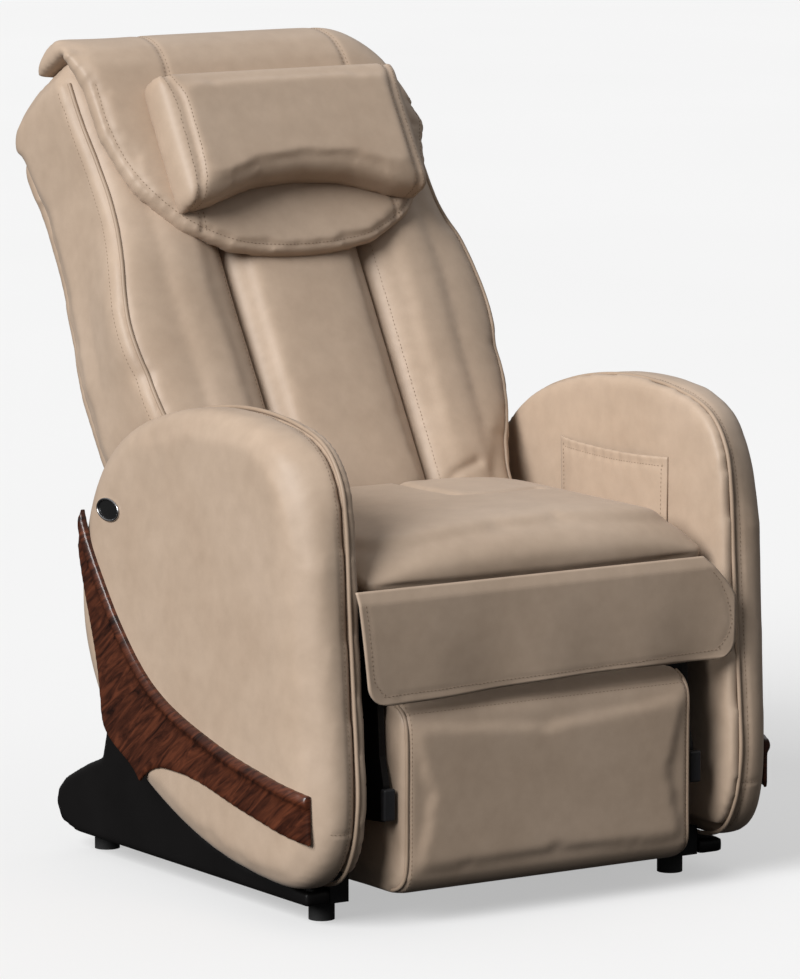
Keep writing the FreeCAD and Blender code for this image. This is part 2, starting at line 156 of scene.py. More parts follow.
def subdivide(obj, levels=1):
    mod = obj.modifiers.new("subdivision", "SUBSURF")
    mod.levels = mod.render_levels = levels
    bake(obj)


def inflate(obj, voxel, cap, pressure=4.0, rounding=4, levels=1, sculpt=None, least=0.35):
    """Stuffs a closed shape: cloth under inner pressure, then smoothed.

    Each point moves out by least to 1 times cap, and sideways by at most a quarter of it.
    """
    remesh(obj, voxel)
    relax(obj, 0.5, rounding)
    if sculpt:
        set_co(obj, sculpt(get_co(obj)))
    rest = get_co(obj)
    mod = obj.modifiers.new("cloth", "CLOTH")
    mod.settings.use_pressure = True
    mod.settings.uniform_pressure_force = pressure
    mod.settings.quality = 4
    mod.settings.effector_weights.gravity = 0
    for f in range(1, CLOTH_FRAMES + 1):
        bpy.context.scene.frame_set(f)
    bake(obj)
    bpy.context.scene.frame_set(1)
    moved = get_co(obj) - rest
    set_co(obj, rest)
    outward = normals(obj)
    out = (moved * outward).sum(1, keepdims=True)
    swell = np.clip(out, cap * least, cap)
    slide = moved - outward * out
    size = np.linalg.norm(slide, axis=1, keepdims=True)
    slide *= np.minimum(1, cap * 0.25 / np.maximum(size, 1e-9))
    moved = outward * swell + slide
    set_co(obj, rest + moved)
    relax(obj, 0.5, 2)
    if levels:
        subdivide(obj, levels)
    smooth_shade(obj)


def dense(points, step=0.002, closed=False):
    """Points every step along a smooth curve through the given ones."""
    pts = [np.array(p, float) for p in points]
    n = len(pts)
    out = []
    for i in range(n if closed else n - 1):
        a, b = pts[i], pts[(i + 1) % n]
        before = pts[(i - 1) % n] if closed or i > 0 else a * 2 - b
        after = pts[(i + 2) % n] if closed or i + 2 < n else b * 2 - a
        k = max(2, int(np.linalg.norm(b - a) / step))
        for t in np.arange(k) / k:
            out.append(0.5 * (2 * a + (b - before) * t + (2 * before - 5 * a + 4 * b - after) * t * t
                              + (3 * a - before - 3 * b + after) * t ** 3))
    if not closed:
        out.append(pts[-1])
    return np.array(out)


def snapped(obj, points, lift=0.0):
    """Points moved onto an object's surface, with the surface normals there."""
    tree = BVHTree.FromPolygons([v.co for v in obj.data.vertices], [p.vertices for p in obj.data.polygons])
    spots, norms = [], []
    for p in points:
        spot, norm, _, _ = tree.find_nearest(Vector(p))
        spots.append(spot + norm * lift)
        norms.append(norm)
    return spots, norms


def groove(obj, points, width, depth):
    """Presses a line into a surface."""
    tree = KDTree(len(points))
    for i, p in enumerate(points):
        tree.insert(Vector(p), i)
    tree.balance()
    co, no = get_co(obj), normals(obj)
    far = np.array([tree.find(Vector(c))[2] for c in co])
    set_co(obj, co - no * (depth * np.exp(-(far / width) ** 2))[:, None])


def tube(name, points, radius, mat, body, closed=False):
    """Piping: a round cord along points."""
    curve = bpy.data.curves.new(name, "CURVE")
    curve.dimensions, curve.bevel_depth, curve.bevel_resolution = "3D", radius, 3
    curve.use_fill_caps = True
    spline = curve.splines.new("POLY")
    spline.points.add(len(points) - 1)
    spline.use_cyclic_u = closed
    for sp, p in zip(spline.points, points):
        sp.co = (*p, 1)
    obj = bpy.data.objects.new(name, curve)
    COLL.objects.link(obj)
    bpy.context.view_layer.update()
    mesh = bpy.data.meshes.new_from_object(obj.evaluated_get(bpy.context.evaluated_depsgraph_get()))
    bpy.data.objects.remove(obj)
    obj = bpy.data.objects.new(name, mesh)
    COLL.objects.link(obj)
    smooth_shade(obj)
    finish_piece(obj, mat, body)
    return obj


def stitches(name, surface, lines, body, step=0.0062, size=(0.0040, 0.0011)):
    """Thread dashes on a surface, along several dense lines, as one object."""
    verts, faces = [], []
    for line in lines:
        gap = np.linalg.norm(np.diff(line, axis=0), axis=1)
        run = np.concatenate([[0], np.cumsum(gap)])
        marks = np.arange(0, run[-1], step)
        pts = np.stack([np.interp(marks, run, line[:, i]) for i in range(3)], 1)
        spots, norms = snapped(surface, pts, 0.0003)
        for i in range(len(spots) - 1):
            along = (spots[i + 1] - spots[i])
            if along.length < 1e-5 or along.length > step * 2:
                continue
            along.normalize()
            side = along.cross(norms[i]).normalized()
            l, w = size[0] / 2, size[1] / 2
            mid, base = spots[i], len(verts)
            verts += [mid - along * l, mid + side * w, mid + along * l, mid - side * w,
                      mid + norms[i] * w, mid - norms[i] * w]
            faces += [(base + a, base + b, base + c) for a, b, c in
                      ((0, 1, 4), (1, 2, 4), (2, 3, 4), (3, 0, 4), (1, 0, 5), (2, 1, 5), (3, 2, 5), (0, 3, 5))]
    obj = new_object(name, verts, faces)
    finish_piece(obj, MAT["thread"], body)
    return obj


def finish_piece(obj, mat, body):
    obj.data.materials.clear()
    obj.data.materials.append(mat)
    if body:
        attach(obj, body)


# ---- materials ----------------------------------------------------------------------------
class Nodes:
    """Short hand for building one node material."""

    def __init__(self, name):
        self.mat = bpy.data.materials.new(name)
        self.mat.use_nodes = True
        self.tree = self.mat.node_tree
        self.tree.nodes.clear()
        self.out = self.add("ShaderNodeOutputMaterial")
        self.bsdf = self.add("ShaderNodeBsdfPrincipled")
        self.link(self.bsdf, "BSDF", self.out, "Surface")
        self.coord = self.add("ShaderNodeTexCoord")

    def add(self, kind, **inputs):
        node = self.tree.nodes.new(kind)
        for key, value in inputs.items():
            node.inputs[key].default_value = value
        return node

    def link(self, a, out, b, into):
        self.tree.links.new(a.outputs[out], b.inputs[into])

    def noise(self, scale, detail=4.0, rough=0.55, stretch=None):
        node = self.add("ShaderNodeTexNoise", Scale=scale, Detail=detail, Roughness=rough)
        if stretch:
            mapping = self.add("ShaderNodeMapping", Scale=stretch)
            self.link(self.coord, "Object", mapping, "Vector")
            self.link(mapping, "Vector", node, "Vector")
        else:
            self.link(self.coord, "Object", node, "Vector")
        return node

    def ramp(self, source, out, stops):
        node = self.add("ShaderNodeValToRGB")
        el = node.color_ramp.elements
        for i, (pos, col) in enumerate(stops):
            e = el[i] if i < 2 else el.new(pos)
            e.position, e.color = pos, (*col, 1) if len(col) == 3 else col
        self.link(source, out, node, "Fac")
        return node

    def bump(self, source, out, strength, distance, onto=None):
        node = self.add("ShaderNodeBump", Strength=strength, Distance=distance)
        self.link(source, out, node, "Height")
        if onto:
            self.link(onto, "Normal", node, "Normal")
        self.link(node, "Normal", self.bsdf, "Normal")
        return node

    def roughness(self, source, low, high):
        node = self.add("ShaderNodeMapRange")
        node.inputs["To Min"].default_value, node.inputs["To Max"].default_value = low, high
        self.link(source, 0, node, "Value")
        self.link(node, "Result", self.bsdf, "Roughness")

    def fixed(self, **values):
        for key, value in values.items():
            self.bsdf.inputs[key.replace("_", " ")].default_value = value


COLOR_A, COLOR_B, COLOR_OUT = 6, 7, 2    # a Mix node's colour sockets


def leather(name, dark, mid, light):
    n = Nodes(name)
    cloud = n.noise(6.5, 5, 0.55)
    tone = n.ramp(cloud, 0, [(0.25, dark), (0.78, light), (0.50, mid)])
    fleck = n.noise(38, 4, 0.55)
    fleck_tone = n.ramp(fleck, 0, [(0.30, (0.93, 0.925, 0.92)), (0.70, (1.02, 1.02, 1.02))])
    mix = n.add("ShaderNodeMix")
    mix.data_type, mix.blend_type = "RGBA", "MULTIPLY"
    mix.inputs["Factor"].default_value = 1.0
    n.link(tone, "Color", mix, COLOR_A)
    n.link(fleck_tone, "Color", mix, COLOR_B)
    n.link(mix, COLOR_OUT, n.bsdf, "Base Color")
    n.roughness(cloud, 0.44, 0.60)
    crease = n.noise(16, 5, 0.6)
    soft = n.bump(crease, 0, 0.22, 0.0022)
    cell = n.add("ShaderNodeTexVoronoi", Scale=620.0)
    cell.feature = "DISTANCE_TO_EDGE"
    n.link(n.coord, "Object", cell, "Vector")
    n.bump(cell, "Distance", 0.16, 0.0004, onto=soft)
    n.fixed(Specular_IOR_Level=0.38, Sheen_Weight=0.08, Sheen_Roughness=0.5)
    return n.mat


def plastic(name, color, low, high, grain=900.0, bump=0.08, spec=0.5):
    n = Nodes(name)
    cloud = n.noise(9, 3)
    c = np.array(color)
    tone = n.ramp(cloud, 0, [(0.3, tuple(c * 0.85)), (0.7, tuple(c * 1.15))])
    n.link(tone, "Color", n.bsdf, "Base Color")
    n.roughness(cloud, low, high)
    n.bump(n.noise(grain, 2), 0, bump, 0.0003)
    n.fixed(Specular_IOR_Level=spec)
    return n.mat


def metal(name, color, rough, stretch):
    n = Nodes(name)
    streak = n.noise(40, 4, 0.6, stretch)
    c = np.array(color)
    tone = n.ramp(streak, 0, [(0.3, tuple(c * 0.88)), (0.7, tuple(c))])
    n.link(tone, "Color", n.bsdf, "Base Color")
    n.roughness(streak, rough, rough + 0.12)
    n.bump(streak, 0, 0.05, 0.0002)
    n.fixed(Metallic=1.0)
    return n.mat


def lacquered_wood():
    n = Nodes("stained_wood")
    turn = n.add("ShaderNodeMapping", Rotation=(0.62, 0, 0), Scale=(1.0, 1.0, 1.0))
    n.link(n.coord, "Object", turn, "Vector")
    long_grain = n.add("ShaderNodeMapping", Scale=(1.0, 2.2, 15.0))
    n.link(turn, "Vector", long_grain, "Vector")
    wave = n.add("ShaderNodeTexNoise", Scale=6.0, Detail=7.0, Roughness=0.62, Distortion=1.1)
    n.link(long_grain, "Vector", wave, "Vector")
    tone = n.ramp(wave, 0, [(0.32, (0.010, 0.0028, 0.0016)), (0.70, (0.120, 0.034, 0.015)),
                            (0.48, (0.045, 0.0125, 0.006))])
    n.link(tone, "Color", n.bsdf, "Base Color")
    n.roughness(wave, 0.30, 0.40)
    n.bump(n.noise(300, 3, 0.6, (1, 0.1, 1)), 0, 0.04, 0.0003)
    n.fixed(Coat_Weight=0.30, Coat_Roughness=0.12, Specular_IOR_Level=0.25)
    return n.mat


def raw_board():
    n = Nodes("board")
    grain = n.noise(30, 5, 0.6, (1, 8, 1))
    tone = n.ramp(grain, 0, [(0.3, (0.36, 0.24, 0.13)), (0.7, (0.52, 0.38, 0.23))])
    n.link(tone, "Color", n.bsdf, "Base Color")
    n.roughness(grain, 0.6, 0.75)
    n.bump(grain, 0, 0.1, 0.0005)
    return n.mat


TAUPE = ((0.400, 0.296, 0.216), (0.430, 0.324, 0.240), (0.462, 0.352, 0.266))
MAT = {
    "upholstery": leather("taupe_leather", *TAUPE),
    "piping": leather("piping_leather",
                      (0.33, 0.240, 0.170), (0.36, 0.266, 0.192), (0.39, 0.292, 0.214)),
    "rear_cover": leather("rear_leather",
                          (0.360, 0.264, 0.190), (0.390, 0.290, 0.212), (0.420, 0.316, 0.234)),
    "thread": plastic("thread", (0.20, 0.138, 0.092), 0.6, 0.75, 2500.0, 0.3),
    "black_plastic": plastic("black_plastic", (0.0050, 0.0045, 0.0045), 0.36, 0.48, spec=0.18),
    "grey_plastic": plastic("grey_plastic", (0.022, 0.022, 0.024), 0.42, 0.55, spec=0.25),
    "black_steel": plastic("black_steel", (0.005, 0.005, 0.0055), 0.45, 0.6, 400.0, 0.12, spec=0.25),
    "badge": plastic("badge_gloss", (0.008, 0.008, 0.008), 0.12, 0.2, 200.0, 0.02),
    "badge_rim": metal("badge_rim", (0.55, 0.55, 0.56), 0.18, (1, 1, 1)),
    "rubber": plastic("rubber", (0.010, 0.010, 0.010), 0.7, 0.85, 500.0, 0.2),
    "airbag": plastic("airbag_cloth", (0.035, 0.033, 0.032), 0.75, 0.9, 1400.0, 0.5),
    "bright_steel": metal("bright_steel", (0.60, 0.60, 0.62), 0.25, (1, 12, 1)),
    "board": raw_board(),
    "stained_wood": lacquered_wood(),
}
for sub in frame["record"]["subparts"]:
    mesh = NODES[sub["node"]].data
    mesh.materials.clear()
    mesh.materials.append(MAT[sub["material_slot"]])

# ---- arms ---------------------------------------------------------------------------------
ARM = [(-490, 250), (-493, 179), (-478, 110), (-440, 66), (-360, 57), (-252, 69), (-147, 96), (-40, 141),
       (33, 186), (90, 250), (126, 325), (135, 407), (120, 490), (77, 577), (8, 634), (-70, 664),
       (-160, 682), (-250, 687), (-340, 679), (-412, 657), (-452, 612), (-466, 550), (-473, 450), (-482, 340)]
SEAM_X = 0.3160


def egg(x, shrink=0.0):
    """The arm's outline at one X, drawn in by shrink."""
    line = dense([(x, y / 1000, z / 1000) for y, z in ARM], 0.006, closed=True)
    tangent = np.roll(line, -1, 0) - np.roll(line, 1, 0)
    tangent /= np.linalg.norm(tangent, axis=1, keepdims=True)
    inward = np.stack([0 * tangent[:, 0], -tangent[:, 2], tangent[:, 1]], 1)
    return line + inward * shrink


def wrap_front(co):
    """The arm's outer face rounds in towards its front and top edges."""
    side = np.sign(co[:, 0])
    front = np.clip((-0.395 - co[:, 1]) / 0.10, 0, 1)
    share = np.clip((np.abs(co[:, 0]) - SEAM_X) / 0.07, 0, 1)
    co[:, 0] -= side * share * 0.024 * front ** 2
    corner = np.clip((-0.33 - co[:, 1]) / 0.13, 0, 1) * np.clip((co[:, 2] - 0.50) / 0.13, 0, 1)
    co[:, 1] += share * 0.022 * corner
    co[:, 2] -= share * 0.018 * corner
    return co


def build_arm(side, s):
    outer = copy_nodes("arm_cover_" + side, ["arm_outer_pad_" + side])
    co = get_co(outer)
    inner_face = np.abs(co[:, 0]) < 0.3298
    co[inner_face, 0] = s * (SEAM_X + 0.0005)
    set_co(outer, co)
    inflate(outer, 0.009, 0.0042, rounding=6, least=0.2)
    set_co(outer, wrap_front(get_co(outer)))
    groove(outer, egg(s * (SEAM_X + 0.012)), 0.004, 0.0016)
    corner = dense([(s * x, -0.489, 0.143) for x in (0.318, 0.335, 0.352, 0.366)], 0.003)
    groove(outer, corner, 0.003, 0.0015)
    finish_piece(outer, MAT["upholstery"], "chair")
    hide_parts("arm_outer_pad_" + side, "arm_core_" + side)
    inner = copy_nodes("arm_lining_" + side, ["arm_inner_pad_" + side])
    inflate(inner, 0.007, 0.002, rounding=3, levels=0)
    finish_piece(inner, MAT["upholstery"], "chair")
    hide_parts("arm_inner_pad_" + side)
    piping = tube("arm_piping_" + side, egg(s * SEAM_X, 0.001), 0.0030, MAT["piping"], "chair", closed=True)
    stitches("arm_stitching_" + side, outer, [egg(s * (SEAM_X + 0.012)), corner], "chair")
    build_trim(side, s)


def build_trim(side, s):
    trim = copy_nodes("wood_panel_" + side, ["wood_trim_" + side])
    remesh(trim, 0.0032)
    relax(trim, 0.5, 3)
    co = get_co(trim)
    top = dense([(0, y / 1000, z / 1000) for y, z in
                 [(103, 514), (84, 471), (57, 432), (17, 381), (-24, 338), (-77, 296), (-143, 265),
                  (-222, 242), (-300, 224), (-376, 212), (-468, 196)]], 0.004)
    tree = KDTree(len(top))
    for i, p in enumerate(top):
        tree.insert(Vector(p), i)
    tree.balance()
    far = np.array([tree.find(Vector((0, c[1], c[2])))[2] for c in co])
    outside = np.abs(co[:, 0]) > 0.389
    ridge = np.exp(-((far - 0.010) / 0.007) ** 2)
    co[:, 0] += s * outside * (0.0035 * ridge - 0.0018 * (far > 0.016))
    set_co(trim, wrap_front(co))
    subdivide(trim, 1)
    smooth_shade(trim)
    finish_piece(trim, MAT["stained_wood"], "chair")
    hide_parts("wood_trim_" + side)
    y, z, a, b = 0.034, 0.520, 0.0285, 0.015
    x = s * 0.3905
    ring = [(x, y + a * math.cos(t), z + b * math.sin(t)) for t in np.linspace(0, 2 * math.pi, 49)[:-1]]
    tube("badge_rim_" + side, ring, 0.0016, MAT["badge_rim"], "chair", closed=True)
    NODES["badge_plate_" + side].data.materials[0] = MAT["badge"]


# ---- seat, flap, pocket -------------------------------------------------------------------
def seat_form(co):
    """Crowned top that falls to the sides and rolls over the front edge."""
    top = np.clip((co[:, 2] - 0.465) / 0.055, 0, 1)
    across = np.clip(np.abs(co[:, 0]) / 0.272, 0, 1)
    ahead = np.clip((-0.375 - co[:, 1]) / 0.085, 0, 1)
    co[:, 2] -= top * (0.028 * across ** 4 + 0.022 * ahead ** 2.2)
    co[:, 2] += top * 0.004 * (1 - across ** 2)
    co[:, 1] += 0.010 * ahead * across ** 4
    return co


def build_seat():
    seat = copy_nodes("seat_pad", ["seat_cushion"])
    co = get_co(seat)
    co[:, 0] *= 0.985
    co[:, 2] = 0.4585 + (co[:, 2] - 0.455) * 0.93
    set_co(seat, co)
    inflate(seat, 0.008, 0.014, pressure=5, rounding=5, sculpt=seat_form)
    co = get_co(seat)
    low = co[:, 2] < 0.457
    co[low, 2] = 0.457
    set_co(seat, co)
    seam = dense([(0.012, -0.085, 0.53), (0.010, -0.15, 0.54), (0.018, -0.222, 0.54)], 0.003)
    branch = dense([(0.018, -0.222, 0.54), (0.060, -0.232, 0.54), (0.110, -0.226, 0.535),
                    (0.17, -0.205, 0.53)], 0.003)
    for line in (seam, branch):
        spots, _ = snapped(seat, line)
        groove(seat, np.array(spots), 0.008, 0.005)
    front = dense([(x, -0.462, 0.4655) for x in np.linspace(-0.27, 0.27, 12)], 0.004)
    groove(seat, front, 0.004, 0.003)
    finish_piece(seat, MAT["upholstery"], "chair")
    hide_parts("seat_cushion")
    stitches("seat_stitching", seat, [seam, branch], "chair")


APRON_TOP, APRON_LOW = 0.469, 0.315


def apron_edge(z, side):
    """X of the apron's edge at one height: round lower corners, and a cut upper one on the sitter's left."""
    corner, inset = 0.028, 0.0
    if z < APRON_LOW + corner:
        inset = corner - math.sqrt(max(0, corner ** 2 - (APRON_LOW + corner - z) ** 2))
    if side < 0:
        return -(0.300 + 0.017 * (z - 0.323) / 0.141) + inset
    return 0.302 - 0.052 * max(0.0, (z - 0.405) / 0.064) ** 1.3 - inset


def build_flap():
    top, low, y = APRON_TOP, APRON_LOW, -0.4945
    nx, nz = 150, 44
    verts, area = [], 0
    for j in range(nz + 1):
        z = top + (low - top) * j / nz
        ends = apron_edge(z, -1), apron_edge(z, 1)
        area += (ends[1] - ends[0]) * (top - low) / nz * (0.5 if j in (0, nz) else 1)
        for i in range(nx + 1):
            u, v = i / nx * 2 - 1, j / nz
            x = ends[0] + (ends[1] - ends[0]) * i / nx
            wave = 0.0022 * v * math.sin(5.2 * u + 0.6) + 0.0015 * v * math.sin(11 * u + 2.0)
            sag = 0.0018 * math.sin(math.pi * v)
            tuck = 0.005 * max(0.0, (z - 0.452) / 0.017)
            hang = 0.0055 * v * (u + 1) + 0.003 * v * math.sin(3 * u + 1)
            verts.append((x, y - wave - sag + tuck, z + hang))
    flap = new_object("front_apron", verts, grid_faces(nx, nz))
    thicken(flap, 0.0030)
    inside = 0.010
    hem = dense([(apron_edge(z, -1) + inside, y, z) for z in (0.450, 0.430, 0.39, 0.35)]
                + [(-0.276, y, 0.328), (-0.25, y, 0.3250), (0.0, y, 0.3300), (0.25, y, 0.3355),
                   (0.276, y, 0.342)]
                + [(apron_edge(z, 1) - inside, y, z) for z in (0.365, 0.39, 0.430, 0.450)], 0.004)
    groove(flap, hem + np.array([0, -0.003, 0]), 0.0035, 0.0008)
    smooth_shade(flap)
    flap.data.materials.clear()
    flap.data.materials.append(MAT["upholstery"])
    thread = stitches("apron_stitching", flap, [hem + np.array([0, -0.01, 0])], None)
    for obj in (flap, thread):
        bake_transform(obj)
    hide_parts("front_flap")


def build_pocket():
    """Flat pouch sewn to the arm's inner face on three sides, with an elastic rim."""
    y0, y1, z0, z1 = -0.340, -0.080, 0.432, 0.585
    ny, nz = 96, 40
    verts = []
    for j in range(nz + 1):
        v = j / nz
        for i in range(ny + 1):
            u = i / ny
            swell = (1 - (2 * u - 1) ** 4) * (0.45 + 0.55 * min(1, v * 2.2))
            gather = 0.0009 * math.sin(74 * u) * max(0, v - 0.78) / 0.22 * (1 - (2 * u - 1) ** 6)
            fold = 0.0007 * math.sin(9 * u + 5 * v)
            dip = 0.0035 * math.sin(math.pi * u) * v ** 4
            verts.append((0.2962 - 0.0098 * swell - gather - fold, y0 + (y1 - y0) * u,
                          z0 + (z1 - z0) * v - dip))
    pouch = new_object("pocket_pouch", verts, grid_faces(ny, nz))
    thicken(pouch, 0.0022)
    edge = 0.009
    lines = [dense([(0.286, y0 + edge, z1 - 0.012), (0.286, y0 + edge, z0 + 0.02)], 0.003),
             dense([(0.286, y1 - edge, z1 - 0.012), (0.286, y1 - edge, z0 + 0.02)], 0.003)]
    rim = dense([(0.284, y0 + edge, z1 - 0.013), (0.284, -0.21, z1 - 0.016),
                 (0.284, y1 - edge, z1 - 0.013)], 0.003)
    groove(pouch, np.array(snapped(pouch, rim)[0]), 0.0035, 0.0011)
    smooth_shade(pouch)
    finish_piece(pouch, MAT["upholstery"], "chair")
    thread = stitches("pocket_stitching", pouch, lines + [rim], "chair")
    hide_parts("remote_pocket")


# ---- back ---------------------------------------------------------------------------------
def hem_line(depth):
    return dense([back(x, depth, z) for x, z in
                  [(-0.262, 0.712), (-0.259, 0.640), (-0.236, 0.560), (-0.186, 0.496), (-0.118, 0.458), (-0.06, 0.447),
                   (0, 0.444), (0.06, 0.447), (0.118, 0.458), (0.186, 0.496), (0.236, 0.560), (0.259, 0.640),
                   (0.262, 0.712)]], 0.004)


def crown(co):
    """The head end curves back at its sides and its crest falls towards the sitter's left."""
    depth, up = to_back(co)
    across = np.abs(co[:, 0])
    wrap = 0.016 * np.clip((across - 0.10) / 0.17, 0, 1) ** 2 * np.clip((up - 0.45) / 0.15, 0, 1)
    co = push_back(co, wrap * np.clip((0.10 - depth) / 0.10, 0, 1))
    amount = np.where(co[:, 0] > 0, 0.105, -0.008)
    co[:, 0] -= 0.022 * np.clip((co[:, 0] - 0.23) / 0.06, 0, 1) * np.clip((up - 0.66) / 0.06, 0, 1)
    fall = amount * np.clip((across - 0.155) / 0.12, 0, 1) ** 2 * np.clip((up - 0.60) / 0.19, 0, 1)
    co[:, 1] -= fall * LEAN_S
    co[:, 2] -= fall * LEAN_C
    return co


def waist(co):
    """The back is widest at the shoulder blades and narrows towards the seat."""
    depth, up = to_back(co)
    share = np.clip(np.abs(co[:, 0]) / 0.29, 0, 1) ** 2 * np.clip((0.10 - depth) / 0.07, 0, 1)
    grow = 0.013 * np.exp(-((up - 0.39) / 0.09) ** 2) - 0.014 * np.exp(-((up - 0.08) / 0.06) ** 2)
    co[:, 0] += np.sign(co[:, 0]) * share * grow
    return co


def channel_form(co):
    """The middle channel is fullest along its centre."""
    depth, _ = to_back(co)
    face = np.clip((0.02 - depth) / 0.03, 0, 1)
    return push_back(co, face * 0.016 * np.clip(np.abs(co[:, 0]) / 0.112, 0, 1) ** 3.0)


def wing_form(co):
    """Each side channel falls into the groove beside the middle one and rounds over at its shoulder."""
    depth, up = to_back(co)
    across = np.abs(co[:, 0])
    face = np.clip((0.02 - depth) / 0.03, 0, 1)
    inner = np.clip((0.165 - across) / 0.049, 0, 1)
    co = push_back(co, face * 0.016 * inner ** 2.2)
    outer = np.clip((across - 0.225) / 0.06, 0, 1)
    co = push_back(co, face * 0.012 * outer ** 2)
    shoulder = np.clip((up - 0.62) / 0.10, 0, 1) * np.clip((depth - 0.09) / 0.08, 0, 1)
    co = push_back(co, 0.012 * shoulder * (1 - np.clip((up - 0.735) / 0.03, 0, 1)))
    return crown(waist(co))


EDGE = [(262, 60), (267, 130), (291, 230), (295, 330), (283, 420), (271, 520), (269, 600), (277, 680), (279, 735)]


def build_back():
    centre = copy_nodes("back_channel_centre", ["back_pad_centre"])
    inflate(centre, 0.008, 0.011, pressure=5, rounding=6, sculpt=channel_form)
    finish_piece(centre, MAT["upholstery"], "back")
    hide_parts("back_pad_centre")
    for side, s in (("left", -1), ("right", 1)):
        wing = copy_nodes("back_wing_" + side, ["back_bolster_" + side])
        co = get_co(wing)
        co[np.abs(co[:, 0]) < 0.1902, 0] = s * 0.1895
        set_co(wing, co)
        channel = copy_nodes("channel_" + side, ["back_pad_" + side])
        co = get_co(channel)
        co[np.abs(co[:, 0]) > 0.17, 0] = s * 0.205
        set_co(channel, co)
        join(wing, channel)
        inflate(wing, 0.009, 0.010, pressure=5, rounding=7, sculpt=wing_form)
        edge = crown(waist(dense([back(s * (x - 3) / 1000, -0.006, z / 1000) for x, z in EDGE], 0.004)))
        gusset = crown(waist(dense([back(s * (x + 4) / 1000, 0.012, z / 1000) for x, z in EDGE], 0.004)))
        groove(wing, edge, 0.006, 0.002)
        crease = dense([back(s * x, -0.02, z) for x, z in ((0.122, 0.06), (0.150, 0.085), (0.190, 0.10))], 0.004)
        groove(wing, np.array(snapped(wing, crease)[0]), 0.008, 0.004)
        finish_piece(wing, MAT["upholstery"], "back")
        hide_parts("back_bolster_" + side, "back_pad_" + side)
        spots, _ = snapped(wing, edge, 0.0012)
        piping = tube("back_piping_" + side, smoothed(spots), 0.0030, MAT["piping"], "back")
        inner_line = dense([back(s * 0.1225, -0.02, z) for z in np.linspace(0.07, 0.47, 20)], 0.004)
        stitches("back_stitching_" + side, wing, [gusset, inner_line], "back")
    shell = copy_nodes("back_rear_cover", ["back_shell"])
    inflate(shell, 0.009, 0.003, rounding=4, sculpt=lambda c: crown(waist(c)))
    finish_piece(shell, MAT["rear_cover"], "back")
    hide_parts("back_shell")
    rear = dense([back(x, 0.2, z) for x, z in ((-0.235, 0.09), (-0.262, 0.23), (-0.266, 0.33), (-0.254, 0.42),
                                               (-0.244, 0.55), (-0.252, 0.68), (-0.232, 0.745), (0.232, 0.745),
                                               (0.252, 0.68), (0.244, 0.55), (0.254, 0.42), (0.266, 0.33),
                                               (0.262, 0.23), (0.235, 0.09))], 0.004, closed=True)
    groove(shell, np.array(snapped(shell, rear)[0]), 0.004, 0.0015)
    stitches("rear_stitching", shell, [rear], "back")


def build_yoke():
    """Rolled pad that closes the back's top edge between the head cover and the rear cover."""
    line = [(0.066, 0.7485), (0.066, 0.770), (0.104, 0.768), (0.134, 0.763), (0.158, 0.752), (0.174, 0.738),
            (0.178, 0.722), (0.1765, 0.715), (0.1765, 0.7485)]
    half, n = 0.188, len(line)
    verts = [tuple(back(x, d, u)) for x in (-half, half) for d, u in line]
    faces = [tuple(range(n)), tuple(range(2 * n - 1, n - 1, -1))]
    faces += [(i, i + n, (i + 1) % n + n, (i + 1) % n) for i in range(n)]
    yoke = new_object("back_yoke", verts, faces)
    inflate(yoke, 0.006, 0.003, rounding=4)
    finish_piece(yoke, MAT["rear_cover"], "back")


def smoothed(points, rounds=6):
    """A line of points with its small kinks averaged out."""
    pts = np.array([list(p) for p in points])
    for _ in range(rounds):
        pts[1:-1] = (pts[:-2] + pts[1:-1] * 2 + pts[2:]) / 4
    return pts


def join(obj, other):
    """Adds the other object's mesh to this one."""
    base = len(obj.data.vertices)
    verts = [v.co.copy() for v in obj.data.vertices] + [v.co.copy() for v in other.data.vertices]
    faces = [tuple(p.vertices) for p in obj.data.polygons]
    faces += [tuple(base + i for i in p.vertices) for p in other.data.polygons]
    mesh = bpy.data.meshes.new(obj.name)
    mesh.from_pydata(verts, [], faces)
    obj.data = mesh
    bpy.data.objects.remove(other)


def pillow_form(co):
    """The lower edge is drawn up and arches over the neck."""
    up = to_back(co)[1]
    rise = np.clip((0.62 - up) / 0.12, 0, 1) * (0.012 + 0.008 * np.clip(1 - (co[:, 0] / 0.15) ** 2, 0, 1))
    co[:, 1] += rise * LEAN_S
    co[:, 2] += rise * LEAN_C
    return co


